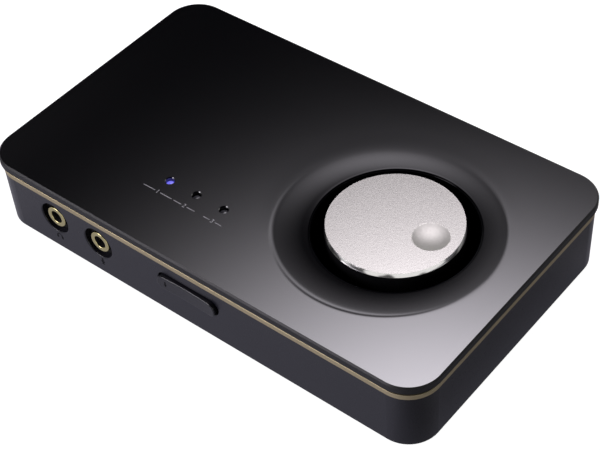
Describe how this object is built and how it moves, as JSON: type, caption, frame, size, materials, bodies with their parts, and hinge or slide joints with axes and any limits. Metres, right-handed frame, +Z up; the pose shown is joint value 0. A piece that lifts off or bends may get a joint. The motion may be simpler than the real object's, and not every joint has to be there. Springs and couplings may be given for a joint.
{
  "type": "usb sound card",
  "caption": "Desktop USB sound card: flat black box with a gold trim line, a large push-turn volume knob in a round dish, front jacks, an oval key and rear audio sockets.",
  "frame": {"origin": "on the desk plane, under the middle of the case", "axes": "+X along the long side, to the right seen from the front; +Y to the rear, front face at -Y; +Z up"},
  "size_m": [0.138, 0.0886, 0.025],
  "materials": {
    "cover_black": "satin metallic black lacquer",
    "case_black": "fine matte texture",
    "panel_black": "fine matte texture",
    "trim_gold": "satin champagne gold",
    "knob_aluminium": "fine blasted face with a bright cut edge",
    "knob_black": "matte",
    "key_black": "satin",
    "gold_plate": "bright gold plating",
    "socket_black": "moulded",
    "phono_white": "moulded",
    "phono_red": "moulded",
    "phono_orange": "moulded",
    "shaft_steel": "turned",
    "can_steel": "bright",
    "can_aluminium": "bright",
    "board_green": "solder resist",
    "chip_black": "moulded",
    "led_white": "moulded",
    "pipe_lit": "clear, lit blue-violet",
    "pipe_dark": "smoked clear",
    "foot_rubber": "matte",
    "screw_steel": "black zinc"
  },
  "bodies": {
    "case": {"top_cover": "cover_black", "trim_ring": "trim_gold", "lower_case": "case_black", "rear_panel": "panel_black", "encoder_bushing": "shaft_steel", "encoder_body": "socket_black", "key_switch_body": "socket_black", "light_pipe_1": "pipe_lit", "light_pipe_2": "pipe_dark", "light_pipe_3": "pipe_dark", "led_1": "led_white", "led_2": "led_white", "led_3": "led_white", "main_board": "board_green", "usb_audio_chip": "chip_black", "codec_chip": "chip_black", "headphone_amp_chip": "chip_black", "crystal_can": "can_steel", "usb_shell": "can_steel", "capacitors": "can_aluminium", "board_screws": "screw_steel", "case_screws": "screw_steel", "usb_tongue": "socket_black", "mic_jack_barrel": "gold_plate", "mic_jack_body": "socket_black", "headphone_jack_barrel": "gold_plate", "headphone_jack_body": "socket_black", "line_in_jack_barrel": "gold_plate", "line_in_jack_body": "socket_black", "front_out_jack_barrel": "gold_plate", "front_out_jack_body": "socket_black", "centre_out_jack_barrel": "gold_plate", "centre_out_jack_body": "socket_black", "rear_out_jack_barrel": "gold_plate", "rear_out_jack_body": "socket_black", "left_phono_shell": "gold_plate", "left_phono_insulator": "phono_white", "left_phono_body": "socket_black", "right_phono_shell": "gold_plate", "right_phono_insulator": "phono_red", "right_phono_body": "socket_black", "digital_phono_shell": "gold_plate", "digital_phono_insulator": "phono_orange", "digital_phono_body": "socket_black", "foot_front_left": "foot_rubber", "foot_front_right": "foot_rubber", "foot_rear_left": "foot_rubber", "foot_rear_right": "foot_rubber"},
    "knob_push": {"encoder_plunger": "socket_black"},
    "knob": {"knob_cap": "knob_aluminium", "knob_body": "knob_black", "encoder_shaft": "shaft_steel"},
    "key": {"front_key": "key_black", "key_switch_plunger": "socket_black"}
  },
  "joints": [
    {"name": "knob_press", "type": "slide", "parent": "case", "child": "knob_push", "axis": [0, 0, -1], "range_m": [0, 0.0005], "stiffness_N_per_m": 3000, "springref_m": -0.0006},
    {"name": "knob_turn", "type": "hinge", "parent": "knob_push", "child": "knob", "pos_m": [0.0335, -0.00065, 0.02], "axis": [0, 0, 1], "continuous": true},
    {"name": "key_press", "type": "slide", "parent": "case", "child": "key", "axis": [0, 1, 0], "range_m": [0, 0.0004], "stiffness_N_per_m": 1500, "springref_m": -0.0006}
  ]
}
